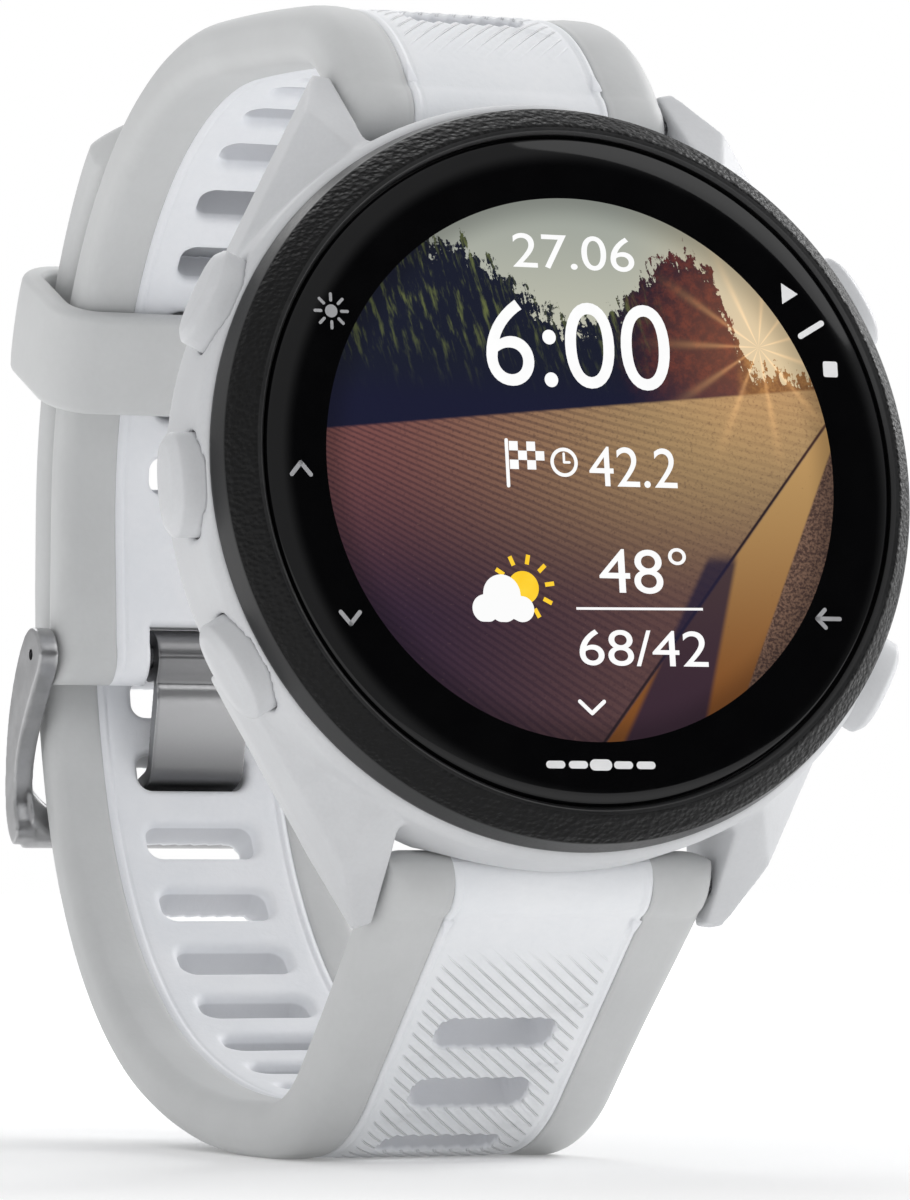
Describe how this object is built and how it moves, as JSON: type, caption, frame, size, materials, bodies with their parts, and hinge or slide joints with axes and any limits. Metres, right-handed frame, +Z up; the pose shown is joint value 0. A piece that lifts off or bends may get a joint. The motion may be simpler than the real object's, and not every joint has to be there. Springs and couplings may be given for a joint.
{
  "type": "gps running watch",
  "caption": "Round running watch with side buttons, a black bezel and a two-tone slotted silicone strap, buckled closed and standing on the strap.",
  "frame": {"origin": "middle of the small flat under the strap that the watch stands on", "axes": "+X to the dial's 3 o'clock, +Y from the dial towards the buckle, +Z up"},
  "size_m": [0.0446, 0.0699, 0.0675],
  "materials": {
    "case_polymer": "satin",
    "bezel_polymer": "satin",
    "cover_glass": "gloss",
    "display": "gloss",
    "seal_rubber": "matte",
    "inner_plastic": "matte",
    "circuit_board": "gloss",
    "chip_black": "matte",
    "tin_plate": "satin",
    "cell_pouch": "satin",
    "flex_film": "gloss",
    "antenna_gold": "satin",
    "back_polymer": "matte",
    "sensor_lens": "gloss",
    "led_resin": "gloss",
    "contact_gold": "gloss",
    "fixing_steel": "satin",
    "silicone_grey": "matte",
    "silicone_white": "matte",
    "buckle_steel": "satin"
  },
  "bodies": {
    "watch": {"case_body": "case_polymer", "bezel_ring": "bezel_polymer", "lens_glass": "cover_glass", "lens_gasket": "seal_rubber", "display_panel": "display", "mid_frame": "inner_plastic", "main_board": "circuit_board", "board_chips": "chip_black", "shield_can": "tin_plate", "battery": "cell_pouch", "battery_flex": "flex_film", "vibration_motor": "tin_plate", "piezo_buzzer": "contact_gold", "gps_antenna": "antenna_gold", "side_switches": "inner_plastic", "back_cover": "back_polymer", "back_gasket": "seal_rubber", "back_screws": "fixing_steel", "sensor_window": "sensor_lens", "sensor_board": "circuit_board", "sensor_leds": "led_resin", "charge_contacts": "contact_gold", "button_seals": "seal_rubber", "bar_upper": "fixing_steel", "bar_lower": "fixing_steel", "spring_upper": "fixing_steel", "spring_lower": "fixing_steel", "upper_strap_core": "silicone_white", "upper_strap_edge": "silicone_grey", "lower_strap_core": "silicone_white", "lower_strap_edge": "silicone_grey"},
    "button_light_body": {"button_light": "case_polymer", "clip_light": "fixing_steel"},
    "button_up_body": {"button_up": "case_polymer", "clip_up": "fixing_steel"},
    "button_down_body": {"button_down": "case_polymer", "clip_down": "fixing_steel"},
    "button_back_body": {"button_back": "case_polymer", "clip_back": "fixing_steel"},
    "button_start_body": {"button_start": "case_polymer", "clip_start": "fixing_steel"},
    "release_upper": {"pin_upper": "fixing_steel"},
    "release_lower": {"pin_lower": "fixing_steel"},
    "buckle": {"buckle_frame": "buckle_steel", "buckle_pin": "buckle_steel"},
    "tongue": {"buckle_tongue": "buckle_steel"},
    "keeper": {"keeper_loop": "silicone_grey"},
    "rotor": {"motor_weight": "fixing_steel"}
  },
  "joints": [
    {"name": "button_light_press", "type": "slide", "parent": "watch", "child": "button_light_body", "axis": [0.8949, -0.059, -0.4423], "range_m": [0, 0.0006], "stiffness_N_per_m": 2000},
    {"name": "button_up_press", "type": "slide", "parent": "watch", "child": "button_up_body", "axis": [0.9997, 0.0035, 0.0259], "range_m": [0, 0.0006], "stiffness_N_per_m": 2000},
    {"name": "button_down_press", "type": "slide", "parent": "watch", "child": "button_down_body", "axis": [0.8746, 0.0641, 0.4806], "range_m": [0, 0.0006], "stiffness_N_per_m": 2000},
    {"name": "button_back_press", "type": "slide", "parent": "watch", "child": "button_back_body", "axis": [-0.866, 0.0661, 0.4956], "range_m": [0, 0.0006], "stiffness_N_per_m": 2000},
    {"name": "button_start_press", "type": "slide", "parent": "watch", "child": "button_start_body", "axis": [-0.866, -0.0661, -0.4956], "range_m": [0, 0.0006], "stiffness_N_per_m": 2000},
    {"name": "release_upper_slide", "type": "slide", "parent": "watch", "child": "release_upper", "axis": [-1, 0, 0], "range_m": [0, 0.0012], "stiffness_N_per_m": 1500, "deforming": ["spring_upper"]},
    {"name": "release_lower_slide", "type": "slide", "parent": "watch", "child": "release_lower", "axis": [-1, 0, 0], "range_m": [0, 0.0012], "stiffness_N_per_m": 1500, "deforming": ["spring_lower"]},
    {"name": "buckle_turn", "type": "hinge", "parent": "watch", "child": "buckle", "pos_m": [0, 0.03393, 0.03052], "axis": [1, 0, 0], "range_deg": [0, 6]},
    {"name": "tongue_turn", "type": "hinge", "parent": "watch", "child": "tongue", "pos_m": [0, 0.03393, 0.03052], "axis": [1, 0, 0], "range_deg": [0, 6]},
    {"name": "keeper_shift", "type": "hinge", "parent": "watch", "child": "keeper", "pos_m": [0, 0.00776, 0.03941], "axis": [1, 0, 0], "range_deg": [-12, 14]},
    {"name": "rotor_spin", "type": "hinge", "parent": "watch", "child": "rotor", "pos_m": [-0.0132, -0.01976, 0.03773], "axis": [0, 0.1323, 0.9912], "continuous": true}
  ],
  "couplings": [
    {"joint": "tongue_turn", "follows": "buckle_turn", "ratio": 1}
  ]
}
